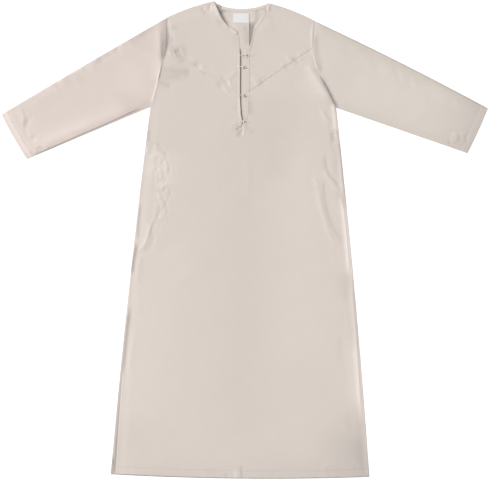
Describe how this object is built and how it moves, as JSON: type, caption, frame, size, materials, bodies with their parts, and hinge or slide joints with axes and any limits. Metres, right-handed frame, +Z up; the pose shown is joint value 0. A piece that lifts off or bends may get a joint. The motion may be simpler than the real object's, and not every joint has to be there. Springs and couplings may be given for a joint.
{
  "type": "long collarless robe laid flat",
  "caption": "Ankle-length collarless robe with long sleeves, V yoke seams and a looped slit at the chest, laid flat with its front up.",
  "frame": {"origin": "middle of the robe's plan, on the surface that it lies on", "axes": "+Y from the hem towards the neck, +X to the right looking down at the front, +Z up out of the front"},
  "size_m": [1.498, 1.4705, 0.0095],
  "materials": {
    "cloth": "pale beige plain-weave cotton, pressed, matt",
    "binding": "the same cotton, cut as a narrow stitched binding",
    "label": "bare white woven tape",
    "cord": "thin rolled cord of the same cotton"
  },
  "bodies": {
    "root": {"back_panel": "cloth", "front_panel": "cloth", "yoke_left": "cloth", "yoke_right": "cloth", "sleeve_left": "cloth", "sleeve_right": "cloth", "placket_guard": "cloth", "pocket_bag_left": "cloth", "pocket_bag_right": "cloth", "neck_binding_left": "binding", "neck_binding_right": "binding", "neck_binding_back": "binding", "neck_label": "label", "knot_1": "cord", "knot_2": "cord", "knot_3": "cord", "knot_4": "cord", "loop_1": "cord", "loop_2": "cord", "loop_3": "cord", "loop_4": "cord"}
  },
  "joints": []
}
